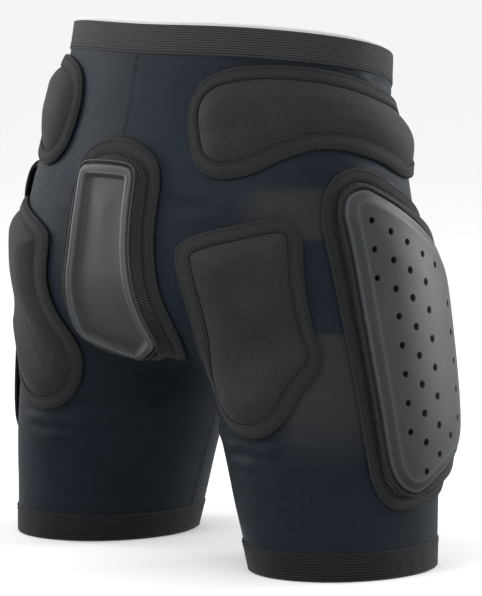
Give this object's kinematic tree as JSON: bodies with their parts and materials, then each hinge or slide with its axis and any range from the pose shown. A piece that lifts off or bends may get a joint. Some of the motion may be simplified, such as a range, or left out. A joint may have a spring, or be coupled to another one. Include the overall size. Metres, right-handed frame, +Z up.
{
  "type": "padded impact shorts",
  "caption": "Close-fitting thigh-length stretch shorts with taped foam pads at hips and seat, vented hard plates on the thighs and a dished hard plate over the tailbone.",
  "frame": {"origin": "centre of the footprint, level with the two leg hems", "axes": "+Z up from the hems to the waist, -Y the way the wearer faces, +X the wearer's left"},
  "size_m": [0.4694, 0.2738, 0.4599],
  "materials": {
    "cloth": "soft sheen stretch knit",
    "elastic": "ribbed elastic",
    "lining": "matt",
    "tape": "ribbed tape",
    "mesh": "woven mesh over foam",
    "foam_cover": "woven mesh over foam",
    "thigh_plastic": "satin",
    "tail_plastic": "gloss"
  },
  "bodies": {
    "pelvis": {"waistband": "elastic", "waistband_lining": "lining", "back_panel_left": "cloth", "back_panel_right": "cloth", "front_panel_left": "cloth", "front_panel_right": "cloth", "crotch_gusset": "cloth", "hip_tape_left": "tape", "hip_cushion_left": "mesh", "hip_tape_right": "tape", "hip_cushion_right": "mesh", "tailbone_tape": "tape", "tailbone_foam": "foam_cover", "tailbone_plate": "tail_plastic"},
    "left_leg": {"leg_sleeve_left": "cloth", "leg_cuff_left": "elastic", "glute_tape_left": "tape", "glute_cushion_left": "mesh", "thigh_tape_left": "tape", "thigh_foam_left": "foam_cover", "thigh_plate_left": "thigh_plastic"},
    "right_leg": {"leg_sleeve_right": "cloth", "leg_cuff_right": "elastic", "glute_tape_right": "tape", "glute_cushion_right": "mesh", "thigh_tape_right": "tape", "thigh_foam_right": "foam_cover", "thigh_plate_right": "thigh_plastic"}
  },
  "joints": [
    {"name": "left_groin_fold", "type": "hinge", "parent": "pelvis", "child": "left_leg", "pos_m": [0.10483, -0.1233, 0.20635], "axis": [-0.696, 0, -0.718], "range_deg": [0, 15]},
    {"name": "right_groin_fold", "type": "hinge", "parent": "pelvis", "child": "right_leg", "pos_m": [-0.10483, -0.1233, 0.20635], "axis": [-0.696, 0, 0.718], "range_deg": [0, 15]}
  ]
}
